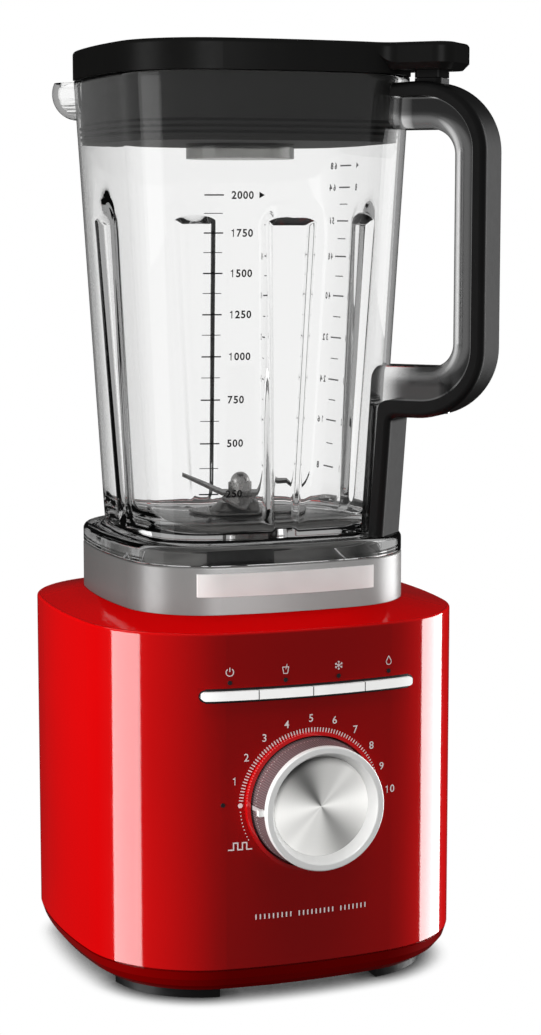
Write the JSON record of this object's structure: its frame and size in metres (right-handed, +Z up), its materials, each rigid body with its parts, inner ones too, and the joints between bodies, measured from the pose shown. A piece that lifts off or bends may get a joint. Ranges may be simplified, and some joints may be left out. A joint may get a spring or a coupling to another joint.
{
  "type": "countertop blender",
  "caption": "Countertop blender: rounded-square red base with dial and button bar, grey collar, clear fluted jar with black side handle and spout, black lid with inner measuring cap.",
  "frame": {"origin": "centre of the base on the plane its feet rest on, on the motor axis", "axes": "+Z up, front with the dial faces -Y, +X to the right seen from the front"},
  "size_m": [0.1957, 0.2128, 0.4469],
  "materials": {
    "red_gloss": "deep candy red, high gloss",
    "red_trim": "bright red, high gloss",
    "satin_grey_metal": "satin",
    "satin_silver": "satin",
    "spun_disc": "fine circular brushing",
    "black_rubber": "matte",
    "black_satin_plastic": "satin",
    "dark_plastic": "matte",
    "clear_plastic": "clear, polished",
    "smoky_plastic": "smoke tint, clear",
    "led_lens": "frosted",
    "screw_steel": "zinc plated",
    "blade_steel": "ground",
    "laminations": "stacked sheet",
    "copper_wire": "enamelled wire",
    "cast_bracket": "as cast",
    "carbon": "pressed carbon",
    "board_green": "solder mask",
    "fan_plastic": "moulded"
  },
  "bodies": {
    "base": {"base_housing": "red_gloss", "base_pan": "red_gloss", "feet": "black_rubber", "pan_screws": "screw_steel", "collar_ring": "satin_grey_metal", "badge_bar": "satin_silver", "jar_seat": "black_rubber", "deck_seal": "black_rubber", "button_bezel": "dark_plastic", "led_lenses": "led_lens", "tact_switches": "dark_plastic", "control_board": "board_green", "control_chips": "dark_plastic", "dial_trim_ring": "red_trim", "encoder": "dark_plastic", "motor_bolts": "screw_steel", "stator_core": "laminations", "field_coils": "copper_wire", "upper_bracket": "cast_bracket", "lower_bracket": "cast_bracket", "motor_bearings": "screw_steel", "motor_dampers": "black_rubber", "carbon_brushes": "carbon", "brush_holders": "dark_plastic", "power_board": "board_green", "power_parts": "dark_plastic", "cord_gland": "black_rubber"},
    "motor_rotor": {"armature_core": "laminations", "armature_windings": "copper_wire", "commutator": "copper_wire", "motor_shaft": "screw_steel", "cooling_fan": "fan_plastic", "drive_coupling": "dark_plastic"},
    "dial": {"dial_skirt": "smoky_plastic", "dial_ring": "satin_silver", "dial_face": "spun_disc", "dial_hub": "dark_plastic", "dial_pointer": "satin_silver", "encoder_shaft": "screw_steel"},
    "power_button": {"button_power": "satin_silver"},
    "smoothie_button": {"button_smoothie": "satin_silver"},
    "ice_button": {"button_ice": "satin_silver"},
    "clean_button": {"button_clean": "satin_silver"},
    "jar": {"jar_body": "clear_plastic", "handle_shell": "black_satin_plastic", "handle_core": "smoky_plastic", "handle_screws": "screw_steel", "hub_gasket": "black_rubber", "blade_hub": "blade_steel", "hub_nut": "dark_plastic", "shaft_bearings": "screw_steel", "shaft_seal": "black_rubber"},
    "blades": {"blade_shaft": "screw_steel", "driven_coupling": "dark_plastic", "lower_blade": "blade_steel", "upper_blade": "blade_steel", "blade_nut": "screw_steel"},
    "lid": {"lid_shell": "black_satin_plastic", "lid_plug": "black_rubber"},
    "cap": {"measuring_cap": "smoky_plastic"}
  },
  "joints": [
    {"name": "jar_lift", "type": "slide", "parent": "base", "child": "jar", "axis": [0, 0, 1], "range_m": [0, 0.08]},
    {"name": "lid_lift", "type": "slide", "parent": "jar", "child": "lid", "axis": [0, 0, 1], "range_m": [0, 0.06]},
    {"name": "cap_lift", "type": "slide", "parent": "lid", "child": "cap", "axis": [0, 0, 1], "range_m": [0, 0.06]},
    {"name": "motor_spin", "type": "hinge", "parent": "base", "child": "motor_rotor", "pos_m": [0, 0, 0.1], "axis": [0, 0, 1], "continuous": true},
    {"name": "blade_spin", "type": "hinge", "parent": "jar", "child": "blades", "pos_m": [0, 0, 0.22], "axis": [0, 0, 1], "continuous": true},
    {"name": "dial_turn", "type": "hinge", "parent": "base", "child": "dial", "pos_m": [0, -0.1, 0.095], "axis": [0, 1, 0], "range_deg": [-27, 178]},
    {"name": "power_press", "type": "slide", "parent": "base", "child": "power_button", "axis": [0, 1, 0], "range_m": [0, 0.0015], "stiffness_N_per_m": 400},
    {"name": "smoothie_press", "type": "slide", "parent": "base", "child": "smoothie_button", "axis": [0, 1, 0], "range_m": [0, 0.0015], "stiffness_N_per_m": 400},
    {"name": "ice_press", "type": "slide", "parent": "base", "child": "ice_button", "axis": [0, 1, 0], "range_m": [0, 0.0015], "stiffness_N_per_m": 400},
    {"name": "clean_press", "type": "slide", "parent": "base", "child": "clean_button", "axis": [0, 1, 0], "range_m": [0, 0.0015], "stiffness_N_per_m": 400}
  ],
  "couplings": [
    {"joint": "blade_spin", "follows": "motor_spin", "ratio": 1}
  ]
}
